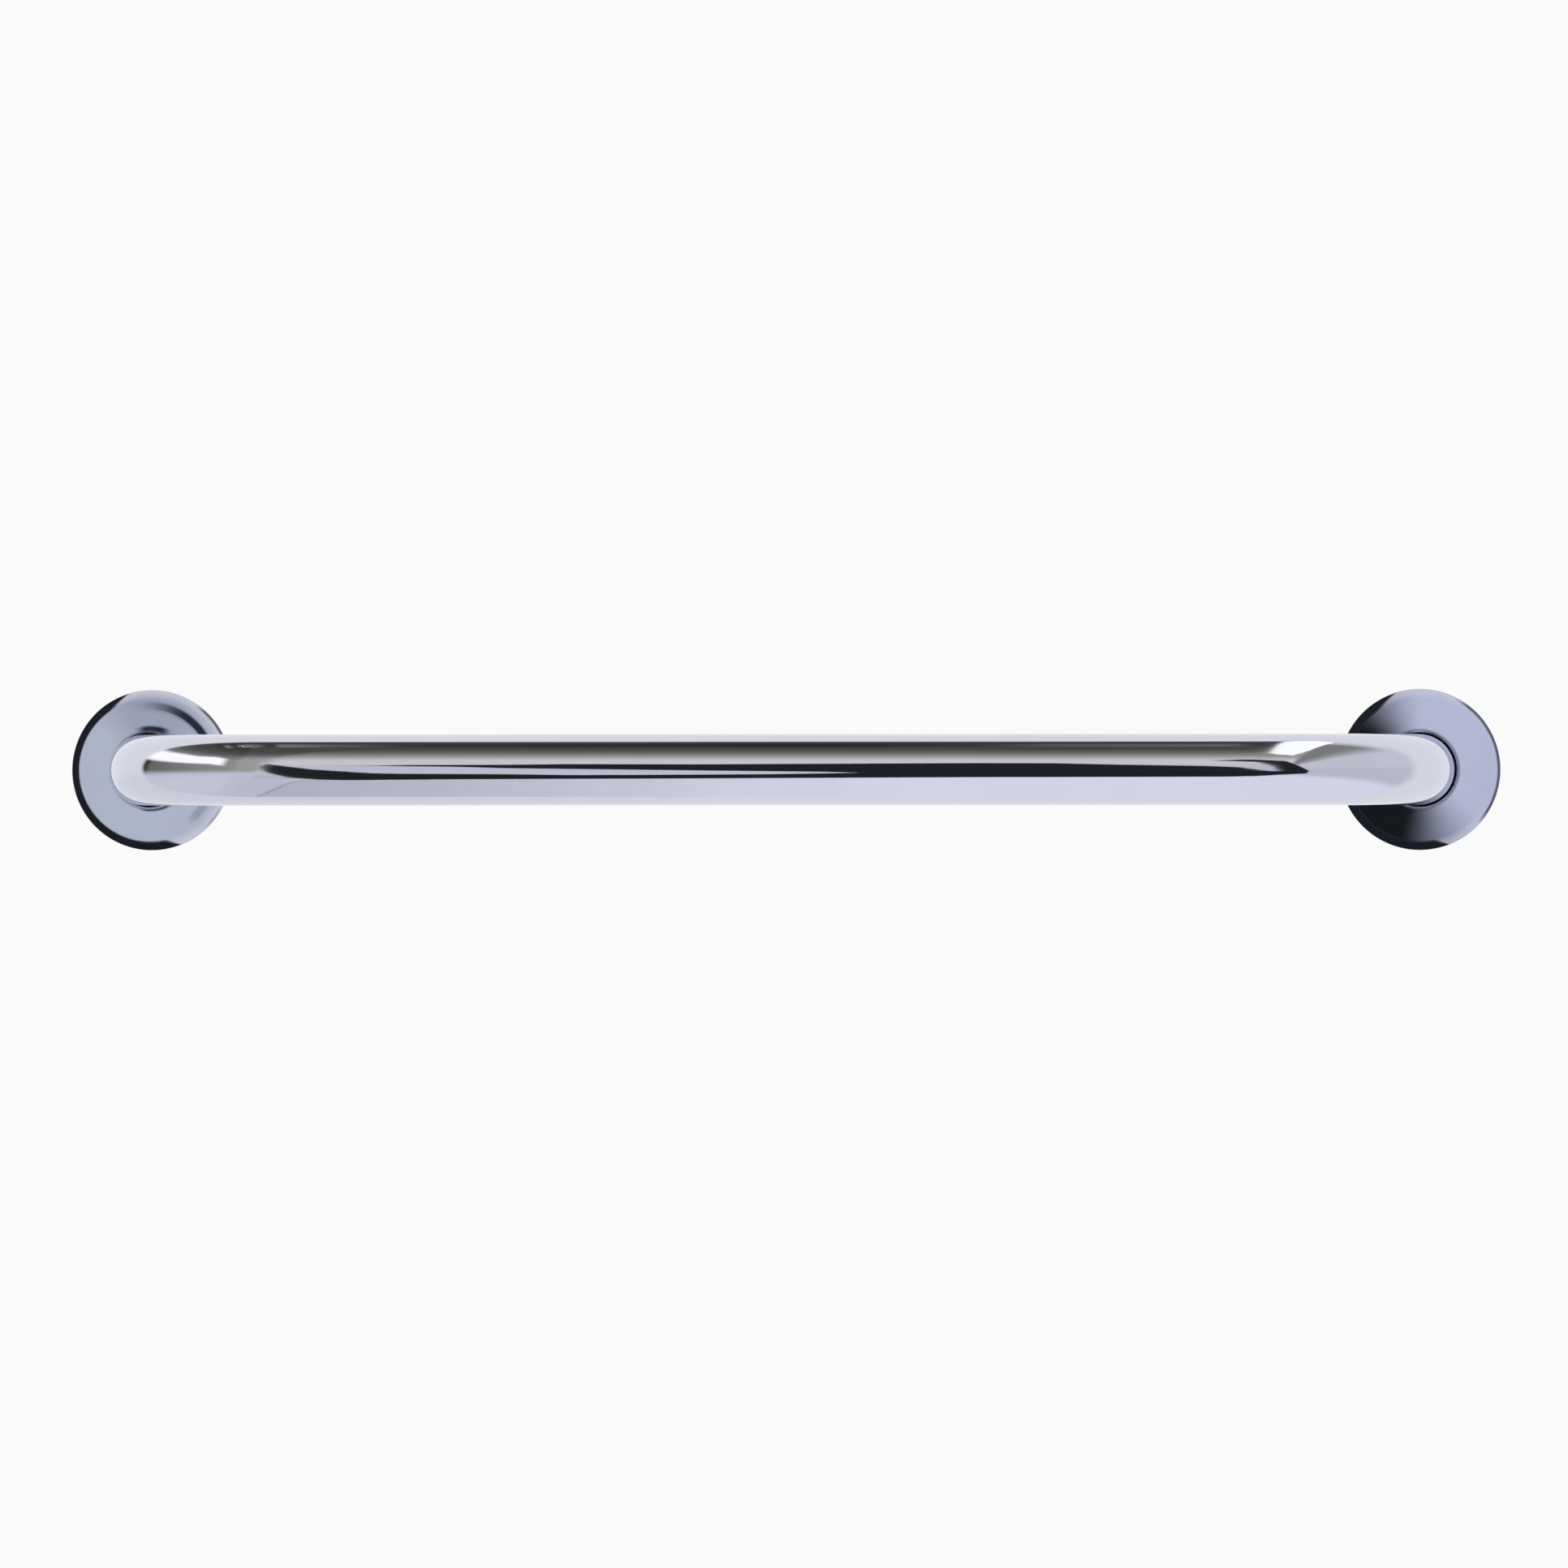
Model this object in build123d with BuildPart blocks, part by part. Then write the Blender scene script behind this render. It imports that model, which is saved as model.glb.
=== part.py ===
"""A wall-mounted towel rail: a bent tube on two welded plates, each hidden by a sliding cover flange.

The wall is the plane Y = 0 and the rail stands off it towards -Y, along X, with Z up.
The origin lies on the wall, midway between the two feet.
"""

import math
import os

from build123d import *

# Rail tube, in millimetres
rail_diameter = 25.0
rail_wall = 1.2
bend_radius = 45.0
leg_straight = 22.5
fixing_centres = 450.0

# Cover flange, pressed from sheet
cover_diameter = 57.0
cover_sheet = 0.7
cover_height = 10.0
cover_rim = 1.2
rim_radius = 1.5
skirt_slope = 62.0
shoulder_radius = 5.0
face_tilt = 4.0
rolled_edge_radius = 2.5
rolled_edge_depth = 1.2
cover_tube_clearance = 0.3
cover_plate_clearance = 0.3

# Fixing plate, welded to the foot of the tube
plate_thickness = 3.0
plate_edge_radius = 0.6
weld_leg = 2.0
screw_count = 3
screw_hole_diameter = 5.0

# Sizes that follow from those above
rail_projection = leg_straight + bend_radius
cover_hole_diameter = rail_diameter + 2 * cover_tube_clearance

# The face rises to a peak at the hole, which the rolled edge rounds down to the cover's height
face_gradient = math.tan(math.radians(face_tilt))
face_peak = cover_height + rolled_edge_radius * (face_gradient + 1 / math.cos(math.radians(face_tilt)) - 1)
lip_height = cover_height - rolled_edge_radius - rolled_edge_depth

# The skirt leans in from the rim and meets the face at the shoulder
skirt_gradient = math.tan(math.radians(skirt_slope))
skirt_drop = face_peak - cover_rim - face_gradient * (cover_diameter - cover_hole_diameter) / 2
shoulder_width = skirt_drop / (skirt_gradient - face_gradient)
shoulder_height = cover_rim + shoulder_width * skirt_gradient

# The plate fills the cover at the height of its own face, and its screws stand clear of the weld
skirt_inset = (plate_thickness - cover_rim) / skirt_gradient + cover_sheet / math.sin(math.radians(skirt_slope))
plate_diameter = cover_diameter - 2 * skirt_inset - 2 * cover_plate_clearance
screw_circle_diameter = (rail_diameter + 2 * weld_leg + plate_diameter) / 2

feet = {"left": -fixing_centres / 2, "right": fixing_centres / 2}

os.makedirs("parts", exist_ok=True)


def wall_plane(foot_x):
    """The wall at one foot, facing into the room, with X along the rail and Y up."""
    return Plane(origin=(foot_x, 0, 0), x_dir=(1, 0, 0), z_dir=(0, -1, 0))


def leg_section(foot_x):
    """The level plane through one leg's axis: X is the radius and Y the distance off the wall."""
    return Plane(origin=(foot_x, 0, 0), x_dir=(1, 0, 0), z_dir=(0, 0, -1))


def leg_axis(foot_x):
    return Axis((foot_x, 0, 0), (0, -1, 0))


# The rail, its bends and its legs are one bent tube that reaches the wall at both ends
with BuildPart() as rail_tube:
    with BuildLine() as tube_path:
        FilletPolyline(
            (feet["left"], 0, 0),
            (feet["left"], -rail_projection, 0),
            (feet["right"], -rail_projection, 0),
            (feet["right"], 0, 0),
            radius=bend_radius,
        )
    with BuildSketch(wall_plane(feet["left"])):
        Circle(rail_diameter / 2)
        Circle(rail_diameter / 2 - rail_wall, mode=Mode.SUBTRACT)
    sweep(path=tube_path.line)
rail_tube.part.label = "rail_tube"
export_step(rail_tube.part, "parts/rail_tube.step")

for side, foot_x in feet.items():
    outward = 180 if foot_x < 0 else 0

    # One screw hole points away from the middle, so that no screw lies behind the rail
    with BuildPart() as fixing_plate:
        with BuildSketch(wall_plane(foot_x)):
            Circle(plate_diameter / 2)
            Circle(rail_diameter / 2, mode=Mode.SUBTRACT)
            with PolarLocations(screw_circle_diameter / 2, screw_count, start_angle=outward):
                Circle(screw_hole_diameter / 2, mode=Mode.SUBTRACT)
        extrude(amount=plate_thickness)
        front_edges = fixing_plate.faces().sort_by(Axis.Y)[0].edges()
        fillet(front_edges.sort_by(SortBy.RADIUS)[-1], radius=plate_edge_radius)
        with BuildSketch(leg_section(foot_x)):
            with BuildLine():
                Polyline(
                    (rail_diameter / 2, plate_thickness),
                    (rail_diameter / 2 + weld_leg, plate_thickness),
                    (rail_diameter / 2, plate_thickness + weld_leg),
                    close=True,
                )
            make_face()
        revolve(axis=leg_axis(foot_x))
    fixing_plate.part.label = f"{side}_fixing_plate"
    export_step(fixing_plate.part, f"parts/{side}_fixing_plate.step")

    # The cover's sheet runs up the rim and the skirt, in along the sloping face and down into the hole
    with BuildPart() as cover_flange:
        with BuildSketch(leg_section(foot_x)):
            with BuildLine():
                FilletPolyline(
                    (cover_diameter / 2, 0),
                    (cover_diameter / 2, cover_rim),
                    (cover_diameter / 2 - shoulder_width, shoulder_height),
                    (cover_hole_diameter / 2, face_peak),
                    (cover_hole_diameter / 2, lip_height),
                    radius=[rim_radius, shoulder_radius, rolled_edge_radius],
                )
                offset(amount=cover_sheet, side=Side.LEFT)
            make_face()
        revolve(axis=leg_axis(foot_x))
    cover_flange.part.label = f"{side}_cover_flange"
    export_step(cover_flange.part, f"parts/{side}_cover_flange.step")
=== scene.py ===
"""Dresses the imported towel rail: a chromed tube, two pressed covers, their steel plates and the welds.

Lengths are in metres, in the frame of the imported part: the wall is the plane Y = 0, the rail stands
off it towards -Y and runs along X, and Z is up.
"""

import math
from types import SimpleNamespace

import bpy
from bpy.props import FloatProperty, FloatVectorProperty, IntProperty, PointerProperty
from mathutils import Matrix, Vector


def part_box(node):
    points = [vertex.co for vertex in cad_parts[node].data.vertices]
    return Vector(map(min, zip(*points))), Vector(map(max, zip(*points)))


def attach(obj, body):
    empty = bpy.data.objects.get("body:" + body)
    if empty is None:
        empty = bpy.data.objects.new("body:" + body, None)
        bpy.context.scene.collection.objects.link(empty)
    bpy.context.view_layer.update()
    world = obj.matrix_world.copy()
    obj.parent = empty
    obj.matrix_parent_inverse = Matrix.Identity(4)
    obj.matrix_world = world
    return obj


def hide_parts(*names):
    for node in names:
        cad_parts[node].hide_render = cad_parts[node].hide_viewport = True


bl_info = {
    "name": "Towel Rail",
    "version": (1, 0, 0),
    "blender": (4, 5, 0),
    "location": "3D View > Sidebar > Towel Rail",
    "description": "Dresses a packed towel rail and sets it on a studio stage",
    "category": "Object",
}

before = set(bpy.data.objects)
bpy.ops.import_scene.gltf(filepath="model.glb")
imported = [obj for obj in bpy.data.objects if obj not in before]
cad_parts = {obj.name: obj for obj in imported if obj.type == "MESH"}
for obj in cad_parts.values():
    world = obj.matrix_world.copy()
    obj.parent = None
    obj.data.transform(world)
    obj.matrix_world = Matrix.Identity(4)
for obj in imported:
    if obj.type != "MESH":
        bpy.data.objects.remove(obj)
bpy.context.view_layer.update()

tube_low, tube_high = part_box("rail_tube")
cover_low, cover_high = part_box("left_cover_flange")
plate_low, plate_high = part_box("left_fixing_plate")

# Where the axis of each leg meets the wall
foot_distance = -(plate_low.x + plate_high.x) / 2
feet = {"left": -foot_distance, "right": foot_distance}


# Settings

def length_setting(name, description, default):
    return FloatProperty(name=name, description=description, default=default, unit="LENGTH", precision=5)


def angle_setting(name, description, degrees):
    turn = math.radians(degrees)
    return FloatProperty(name=name, description=description, default=turn, subtype="ANGLE", precision=3)


def colour_setting(name, description, default):
    return FloatVectorProperty(name=name, description=description, default=default, subtype="COLOR")


def count_setting(name, description, default, least):
    return IntProperty(name=name, description=description, default=default, min=least)


class RailTubeSettings(bpy.types.PropertyGroup):
    diameter: length_setting("Diameter", "Outer diameter of the tube", tube_high.z - tube_low.z)
    wall: length_setting("Wall", "Thickness of the tube's wall", 0.0012)
    bend_radius: length_setting("Bend Radius", "Radius of the tube's axis in each bend", 0.045)
    bend_ease: length_setting("Bend Ease", "Straight run up to the ring before each bend", 0.001)
    edge_bevel: length_setting("Edge Bevel", "How far the edges at the tube's ends are eased", 0.00015)
    ring_points: count_setting("Ring Points", "Points round the tube", 128, 16)
    bend_rings: count_setting("Bend Rings", "Rings along each bend", 72, 8)


class CoverSettings(bpy.types.PropertyGroup):
    diameter: length_setting("Diameter", "Outer diameter of the cover", cover_high.z - cover_low.z)
    height: length_setting("Height", "How far the cover stands off the wall", -cover_low.y)
    sheet: length_setting("Sheet", "Thickness of the pressed sheet", 0.0007)
    edge_bevel: length_setting("Edge Bevel", "How far the cut edges of the sheet are eased", 0.0001)
    tube_clearance: length_setting("Tube Clearance", "Gap between the tube and the edge of the hole", 0.0003)
    rim_height: length_setting("Rim Height", "Height of the upright rim against the wall", 0.0012)
    rim_radius: length_setting("Rim Radius", "Radius between the rim and the skirt", 0.0015)
    skirt_slope: angle_setting("Skirt Slope", "Slope of the skirt against the wall", 62.0)
    shoulder_radius: length_setting("Shoulder Radius", "Radius between the skirt and the face", 0.005)
    face_tilt: angle_setting("Face Tilt", "Slope of the face towards the skirt", 4.0)
    rolled_edge_radius: length_setting(
        "Rolled Edge Radius", "Radius of the edge that is rolled into the hole", 0.0014
    )
    rolled_edge_depth: length_setting(
        "Rolled Edge Depth", "Straight lip inside the hole, below the rolled edge", 0.0023
    )
    turn_points: count_setting("Turn Points", "Points round the cover", 224, 32)
    profile_points: count_setting("Profile Points", "Points from the rim to the lip", 144, 24)


class WeldSettings(bpy.types.PropertyGroup):
    leg: length_setting("Leg", "How far the weld reaches along the plate and along the tube", 0.002)
    sink: length_setting("Sink", "How far the ripples sit in towards the tube", 0.0001)
    bead_count: count_setting("Ripples", "Ripples in the weld round one foot", 62, 8)
    bead_length: length_setting("Ripple Length", "Length of one ripple round the tube", 0.0024)
    bead_width: length_setting("Ripple Width", "Width of one ripple from the plate to the tube", 0.0031)
    bead_depth: length_setting("Ripple Depth", "Thickness of one ripple", 0.0012)
    seed: count_setting("Seed", "Seed of the unevenness from ripple to ripple", 7, 0)


class FinishSettings(bpy.types.PropertyGroup):
    chrome: colour_setting("Chrome", "Colour of the chrome plate", (0.66, 0.665, 0.715))
    # Duller plate in the cover's hole, darkened further by painted shade from the gap at the tube
    chrome_lip_and_shade: colour_setting(
        "Chrome Lip", "Colour of the duller plate in the cover's hole", (0.40, 0.41, 0.46)
    )
    chrome_roughness: FloatProperty(
        name="Chrome Roughness",
        description="Roughness of the polished plate",
        default=0.05,
        subtype="FACTOR",
    )
    steel: colour_setting("Steel", "Colour of the bare fixing plates", (0.56, 0.555, 0.54))
    heat_straw: colour_setting(
        "Heat Straw", "Outer tint that the weld's heat leaves on the steel", (0.55, 0.42, 0.24)
    )
    heat_blue: colour_setting(
        "Heat Blue", "Inner tint that the weld's heat leaves on the steel", (0.22, 0.25, 0.38)
    )


class StageSettings(bpy.types.PropertyGroup):
    camera_distance: length_setting(
        "Camera Distance", "Distance of the camera from the middle between the feet", 4.5
    )
    camera_azimuth: angle_setting(
        "Camera Azimuth", "How far the camera stands to the right of straight ahead", 3.57
    )
    camera_drop: length_setting("Camera Drop", "How far the level camera stands below the rail", 0.0050)
    camera_roll: angle_setting("Camera Roll", "How far the camera leans to the right", 0.03)
    lens: FloatProperty(
        name="Lens",
        description="Focal length in millimetres, on a 36 mm sensor",
        default=291.6,
        unit="CAMERA",
    )
    background: colour_setting(
        "Background", "Colour of the background as the camera sees it", (0.956, 0.956, 0.956)
    )
    floor_drop: length_setting("Floor Drop", "Height of the rail above the floor", 0.6)
    floor_radius: length_setting(
        "Floor Radius", "Radius at which the floor has faded into the background", 4.0
    )
    flag_distance: length_setting(
        "Flag Distance", "Distance from the wall of the dark flag that the rail reflects", 0.3
    )
    key_power: FloatProperty(
        name="Key Power",
        description="Power of the soft lamp overhead, in watts",
        default=22.0,
        unit="POWER",
    )
    key_size: length_setting("Key Size", "Width of the soft lamp overhead", 1.6)
    key_place: FloatVectorProperty(
        name="Key Place",
        description="Where the soft lamp overhead hangs",
        default=(0.4, -0.6, 1.7),
        subtype="TRANSLATION",
    )


# Node trees

class Wire:
    """An output socket whose arithmetic adds Math nodes to its tree."""

    def __init__(self, graph, socket):
        self.graph = graph
        self.socket = socket

    def out(self, key):
        """Another output of the same node."""
        return Wire(self.graph, self.socket.node.outputs[key])

    def __add__(self, other):
        return self.graph.math("ADD", self, other)

    def __radd__(self, other):
        return self.graph.math("ADD", other, self)

    def __sub__(self, other):
        return self.graph.math("SUBTRACT", self, other)

    def __rsub__(self, other):
        return self.graph.math("SUBTRACT", other, self)

    def __mul__(self, other):
        return self.graph.math("MULTIPLY", self, other)

    def __rmul__(self, other):
        return self.graph.math("MULTIPLY", other, self)

    def __truediv__(self, other):
        return self.graph.math("DIVIDE", self, other)

    def __rtruediv__(self, other):
        return self.graph.math("DIVIDE", other, self)

    def __neg__(self):
        return self.graph.math("MULTIPLY", self, -1.0)


class Graph:
    """A node tree in the making."""

    def __init__(self, tree):
        self.tree = tree

    def node(self, kind, settings=None, sockets=None, output=0):
        """Adds a node, sets its settings, feeds its sockets and returns one output.

        Colours are given as red, green and blue.
        """
        made = self.tree.nodes.new(kind)
        for name, value in (settings or {}).items():
            if name == "stops":
                set_ramp_stops(made.color_ramp, value)
            else:
                setattr(made, name, value)
        for key, value in (sockets or {}).items():
            socket = made.inputs[key]
            if isinstance(value, Wire):
                self.tree.links.new(value.socket, socket)
            elif socket.type == "RGBA":
                socket.default_value = opaque(value)
            else:
                socket.default_value = value
        return Wire(self, made.outputs[output]) if made.outputs else None

    def math(self, operation, first, second=0.0):
        return self.node("ShaderNodeMath", {"operation": operation}, {0: first, 1: second})

    def length(self, first, second):
        """The length of a vector with these two parts."""
        return self.math("SQRT", first * first + second * second)

    def split(self, vector):
        axes = self.node("ShaderNodeSeparateXYZ", sockets={"Vector": vector})
        return axes.out("X"), axes.out("Y"), axes.out("Z")

    def join(self, x, y, z):
        return self.node("ShaderNodeCombineXYZ", sockets={"X": x, "Y": y, "Z": z})

    def rotation(self, x, y, z):
        return self.node("FunctionNodeEulerToRotation", sockets={"Euler": self.join(x, y, z)})

    def step(self, value, low, high):
        """Goes smoothly from 0 at low to 1 at high; low may be the greater."""
        sockets = {"Value": value, "From Min": low, "From Max": high}
        return self.node("ShaderNodeMapRange", {"interpolation_type": "SMOOTHSTEP"}, sockets)

    def between(self, value, low, high, soft):
        """Is 1 between low and high, with edges that are soft by that much on each side."""
        return self.step(value, low - soft, low + soft) * self.step(value, high + soft, high - soft)

    def ramp(self, factor, stops):
        """A colour by factor, from stops that give a position and a colour."""
        return self.node("ShaderNodeValToRGB", {"stops": stops}, {"Fac": factor})

    def blend(self, factor, first, second):
        """Mixes two colours."""
        return self.node("ShaderNodeMix", {"data_type": "RGBA"}, {0: factor, 6: first, 7: second}, 2)

    def mix(self, factor, first, second):
        """Mixes two shaders."""
        return self.node("ShaderNodeMixShader", sockets={0: factor, 1: first, 2: second})

    def noise(self, vector, scale, detail=2.0, roughness=0.5):
        sockets = {"Vector": vector, "Scale": scale, "Detail": detail, "Roughness": roughness}
        return self.node("ShaderNodeTexNoise", sockets=sockets)

    def stretch(self, vector, x, y, z):
        return self.node("ShaderNodeMapping", sockets={"Vector": vector, "Scale": (x, y, z)})

    def bump(self, height, strength, distance):
        sockets = {"Strength": strength, "Distance": distance, "Height": height}
        return self.node("ShaderNodeBump", sockets=sockets)


def set_ramp_stops(ramp, stops):
    while len(ramp.elements) < len(stops):
        ramp.elements.new(1.0)
    for element, (position, colour) in zip(ramp.elements, stops):
        element.position = position
        element.color = opaque(colour)


def opaque(colour):
    return (*colour, 1.0)


# Geometry

# Points on each rounded corner of a cover's profile, and the gap that its seam closes
CORNER_POINTS = 32
SEAM_GAP = 1e-6

# Edges sharper than the first angle are eased, and edges sharper than the second stay crisp
EASED_ANGLE = math.radians(50.0)
CRISP_ANGLE = math.radians(35.0)
EASED_SEGMENTS = 2

# Faces round and along a weld ripple, and the shares by which its depth, length and width vary
RIPPLE_SEGMENTS = 12
RIPPLE_RINGS = 8
RIPPLE_LEAST = (0.85, 0.9, 0.8)
RIPPLE_MOST = (1.2, 1.1, 1.15)

# A ripple leans halfway between plate and tube, and the second foot's ring is turned, in radians
RIPPLE_LEAN = math.radians(45.0)
RING_TURN = 2.0


def geometry_graph(name, inputs):
    """Starts a Geometry Nodes tree; returns its graph, its geometry and its named inputs as wires."""
    tree = bpy.data.node_groups.new(name, "GeometryNodeTree")
    tree.interface.new_socket("Geometry", in_out="INPUT", socket_type="NodeSocketGeometry")
    for label, kind in inputs.items():
        tree.interface.new_socket(label, in_out="INPUT", socket_type=kind)
    tree.interface.new_socket("Geometry", in_out="OUTPUT", socket_type="NodeSocketGeometry")
    graph = Graph(tree)
    source = graph.node("NodeGroupInput")
    return graph, source, {label: source.out(label) for label in inputs}


def end_geometry(graph, geometry, material):
    """Ends a tree: smooth faces, real geometry and its material."""
    smooth = graph.node("GeometryNodeSetShadeSmooth", sockets={"Geometry": geometry})
    real = graph.node("GeometryNodeRealizeInstances", sockets={"Geometry": smooth})
    dressed = graph.node("GeometryNodeSetMaterial", sockets={"Geometry": real, "Material": material})
    graph.node("NodeGroupOutput", sockets={"Geometry": dressed})


def corner_path(name, corners):
    """A mesh of edges through the corners, each with the radius that rounds it."""
    mesh = bpy.data.meshes.new(name)
    points = [point for point, radius in corners]
    mesh.from_pydata(points, [(i, i + 1) for i in range(len(points) - 1)], [])
    radii = mesh.attributes.new("corner_radius", "FLOAT", "POINT")
    radii.data.foreach_set("value", [radius for point, radius in corners])
    return mesh


def rounded_curve(graph, path, count):
    """The curve along a corner path, with its corners rounded."""
    name = {"Name": "corner_radius"}
    radius = graph.node("GeometryNodeInputNamedAttribute", {"data_type": "FLOAT"}, name)
    curve = graph.node("GeometryNodeMeshToCurve", sockets={"Mesh": path})
    sockets = {"Curve": curve, "Count": count, "Radius": radius}
    return graph.node("GeometryNodeFilletCurve", {"mode": "POLY"}, sockets)


def plain_mesh(piece):
    """Makes what a piece's modifiers give its own mesh, and removes them."""
    depsgraph = bpy.context.evaluated_depsgraph_get()
    made = piece.evaluated_get(depsgraph)
    mesh = bpy.data.meshes.new_from_object(made, preserve_all_data_layers=True, depsgraph=depsgraph)
    piece.modifiers.clear()
    piece.data = mesh
    if not mesh.polygons:
        raise RuntimeError(f"{piece.name} came out empty")


def grow(name, mesh, graph, values):
    """Runs a tree on a mesh, with its inputs set by name, and returns the piece it makes."""
    piece = bpy.data.objects.new(name, mesh)
    bpy.context.scene.collection.objects.link(piece)
    modifier = piece.modifiers.new("Shape", "NODES")
    modifier.node_group = graph.tree
    for item in graph.tree.interface.items_tree:
        if item.in_out == "INPUT" and item.name in values:
            modifier[item.identifier] = values[item.name]
    plain_mesh(piece)
    return piece


def thicken(piece, thickness, edge_bevel, inside_material):
    """Gives a shell its wall on the inside, with eased edges and its own material in there."""
    piece.data.materials.append(inside_material)
    wall = piece.modifiers.new("Wall", "SOLIDIFY")
    wall.thickness = thickness
    wall.offset = -1.0
    wall.use_even_offset = True
    wall.material_offset = 1
    bevel = piece.modifiers.new("Eased Edges", "BEVEL")
    bevel.width = edge_bevel
    bevel.segments = EASED_SEGMENTS
    bevel.limit_method = "ANGLE"
    bevel.angle_limit = EASED_ANGLE
    plain_mesh(piece)
    piece.data.shade_smooth()
    piece.data.set_sharp_from_angle(angle=CRISP_ANGLE)


def sweep_graph():
    """A round tube along a corner path."""
    graph, path, inputs = geometry_graph("Bent Tube", {
        "Diameter": "NodeSocketFloat",
        "Ring Points": "NodeSocketInt",
        "Bend Rings": "NodeSocketInt",
        "Material": "NodeSocketMaterial",
    })
    curve = rounded_curve(graph, path, inputs["Bend Rings"])
    sockets = {"Resolution": inputs["Ring Points"], "Radius": inputs["Diameter"] / 2}
    ring = graph.node("GeometryNodeCurvePrimitiveCircle", {"mode": "RADIUS"}, sockets)
    tube = graph.node("GeometryNodeCurveToMesh", sockets={"Curve": curve, "Profile Curve": ring})
    end_geometry(graph, tube, inputs["Material"])
    return graph


def lathe_graph():
    """A corner path, given as radius and height, turned round the axis of a leg."""
    graph, path, inputs = geometry_graph("Pressed Cover", {
        "Foot": "NodeSocketFloat",
        "Turn Points": "NodeSocketInt",
        "Profile Points": "NodeSocketInt",
        "Material": "NodeSocketMaterial",
    })
    curve = rounded_curve(graph, path, CORNER_POINTS)
    sheet = graph.node("GeometryNodeMeshGrid", sockets={
        "Size X": 1.0,
        "Size Y": 1.0,
        "Vertices X": inputs["Turn Points"] + 1,
        "Vertices Y": inputs["Profile Points"],
    })
    across, along, _ = graph.split(graph.node("GeometryNodeInputPosition"))
    turn = (across + 0.5) * math.tau
    sockets = {"Curves": curve, "Factor": along + 0.5}
    sample = graph.node("GeometryNodeSampleCurve", {"mode": "FACTOR"}, sockets)
    radius, height, _ = graph.split(sample.out("Position"))
    place = graph.join(
        inputs["Foot"] + radius * graph.math("COSINE", turn),
        -height,
        radius * graph.math("SINE", turn),
    )
    turned = graph.node("GeometryNodeSetPosition", sockets={"Geometry": sheet, "Position": place})
    closed = graph.node("GeometryNodeMergeByDistance", sockets={"Geometry": turned, "Distance": SEAM_GAP})
    end_geometry(graph, closed, inputs["Material"])
    return graph


def weld_graph():
    """A ring of uneven weld ripples round each point of the mesh."""
    graph, feet_points, inputs = geometry_graph("Foot Weld", {
        "Ripples": "NodeSocketInt",
        "Radius": "NodeSocketFloat",
        "Ripple Size": "NodeSocketVector",
        "Seed": "NodeSocketInt",
        "Material": "NodeSocketMaterial",
    })
    sockets = {"Vertices": inputs["Ripples"], "Radius": inputs["Radius"]}
    circle = graph.node("GeometryNodeMeshCircle", sockets=sockets)
    sockets = {"Segments": RIPPLE_SEGMENTS, "Rings": RIPPLE_RINGS, "Radius": 0.5}
    ripple = graph.node("GeometryNodeMeshUVSphere", sockets=sockets)
    turn = graph.node("GeometryNodeInputIndex") * math.tau / inputs["Ripples"]
    uneven = graph.node(
        "FunctionNodeRandomValue",
        {"data_type": "FLOAT_VECTOR"},
        {0: RIPPLE_LEAST, 1: RIPPLE_MOST, "Seed": inputs["Seed"]},
    )
    size = graph.node(
        "ShaderNodeVectorMath",
        {"operation": "MULTIPLY"},
        {0: inputs["Ripple Size"], 1: uneven},
    )
    ring = graph.node("GeometryNodeInstanceOnPoints", sockets={
        "Points": circle,
        "Instance": ripple,
        "Rotation": graph.rotation(0.0, RIPPLE_LEAN, turn),
        "Scale": size,
    })
    upright = graph.node("GeometryNodeTransform", sockets={
        "Geometry": ring,
        "Rotation": (math.radians(90.0), 0.0, 0.0),
    })
    index = graph.node("GeometryNodeInputIndex")
    rings = graph.node("GeometryNodeInstanceOnPoints", sockets={
        "Points": feet_points,
        "Instance": upright,
        "Rotation": graph.rotation(0.0, index * RING_TURN, 0.0),
    })
    end_geometry(graph, rings, inputs["Material"])
    return graph


# Finishes

# Radii between which a cover's plate dulls and darkens with painted shade into the hole, and how much of that
# the left one takes
LIP_SHADE_OUTER = 0.0148
LIP_SHADE_INNER = 0.0139
LEFT_LIP_SHADE = 0.4

# Radii of the heat tint round a weld: a straw ring with soft edges, and blue inside it
STRAW_INNER = 0.0150
STRAW_OUTER = 0.0185
STRAW_SOFT = 0.0018
BLUE_INNER = 0.0140
BLUE_OUTER = 0.0165


def new_material(name):
    material = bpy.data.materials.new(name)
    material.use_nodes = True
    material.node_tree.nodes.clear()
    return material, Graph(material.node_tree)


def end_metal(graph, colour, roughness, bump):
    """Ends a material in a metal's shader."""
    shader = graph.node("ShaderNodeBsdfPrincipled", sockets={
        "Base Color": colour,
        "Metallic": 1.0,
        "Roughness": roughness,
        "Normal": bump,
    })
    graph.node("ShaderNodeOutputMaterial", sockets={"Surface": shader})


def object_coordinates(graph):
    return graph.node("ShaderNodeTexCoord", output="Object")


def round_leg(graph, place):
    """How far a place lies beside, above and altogether from the axis of the nearer leg."""
    x, _, z = graph.split(place)
    aside = (graph.math("ABSOLUTE", x) - foot_distance) * graph.math("SIGN", x)
    return aside, z, graph.length(aside, z)


def clouded(graph, mask, colour, share):
    """A colour that goes down to a share of itself where the mask is 1."""
    return graph.blend(mask, colour, tuple(channel * share for channel in colour))


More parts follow.
